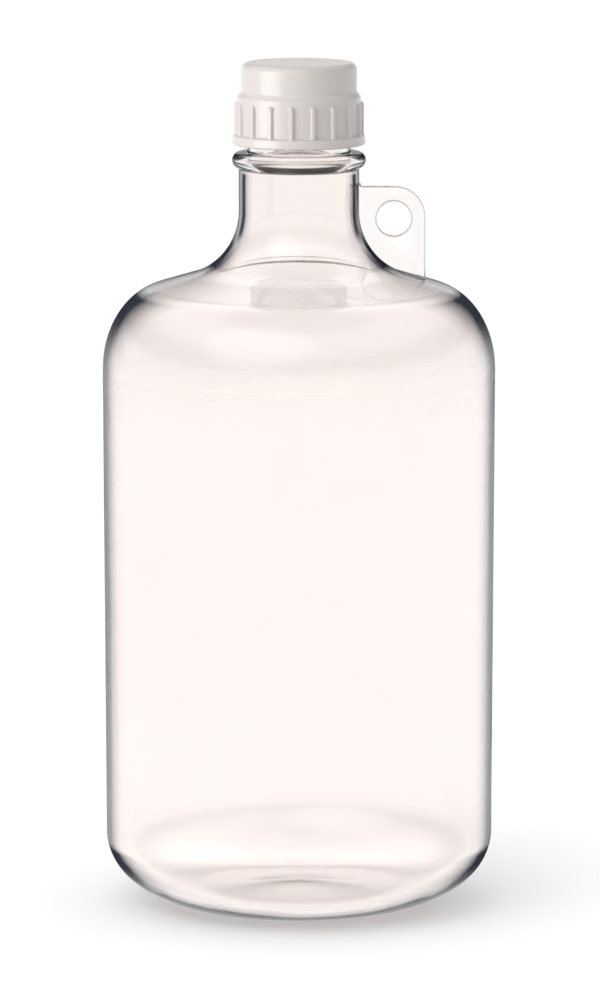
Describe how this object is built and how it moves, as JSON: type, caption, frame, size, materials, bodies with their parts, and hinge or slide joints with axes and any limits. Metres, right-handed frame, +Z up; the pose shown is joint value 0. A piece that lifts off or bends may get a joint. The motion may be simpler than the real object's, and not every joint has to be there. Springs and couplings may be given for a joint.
{
  "type": "reagent bottle",
  "caption": "Round clear plastic bottle with a sloping shoulder, straight neck, flat hanging tab with a hole, and a two-tier ribbed screw cap that unscrews and lifts off.",
  "frame": {"origin": "centre of the foot at floor level, on the bottle's axis", "axes": "+Z up the bottle towards the cap, +X towards the hanging tab, -Y towards the viewer of the tab's flat side"},
  "size_m": [0.1556, 0.1556, 0.3365],
  "materials": {
    "clear_plastic": "clear, glossy, faint warm tint",
    "white_plastic": "satin white moulding",
    "liner_foam": "soft closed-cell foam"
  },
  "bodies": {
    "bottle": {"bottle": "clear_plastic"},
    "liner": {"cap_liner": "liner_foam"},
    "cap": {"screw_cap": "white_plastic"}
  },
  "joints": [
    {"name": "cap_lift", "type": "slide", "parent": "bottle", "child": "liner", "axis": [0, 0, 1], "range_m": [0, 0.0321]},
    {"name": "cap_turn", "type": "hinge", "parent": "liner", "child": "cap", "pos_m": [0, 0, 0.3193], "axis": [0, 0, 1], "range_deg": [0, 2304]}
  ],
  "couplings": [
    {"joint": "cap_lift", "follows": "cap_turn", "m_per_rad": 0.00079577}
  ]
}
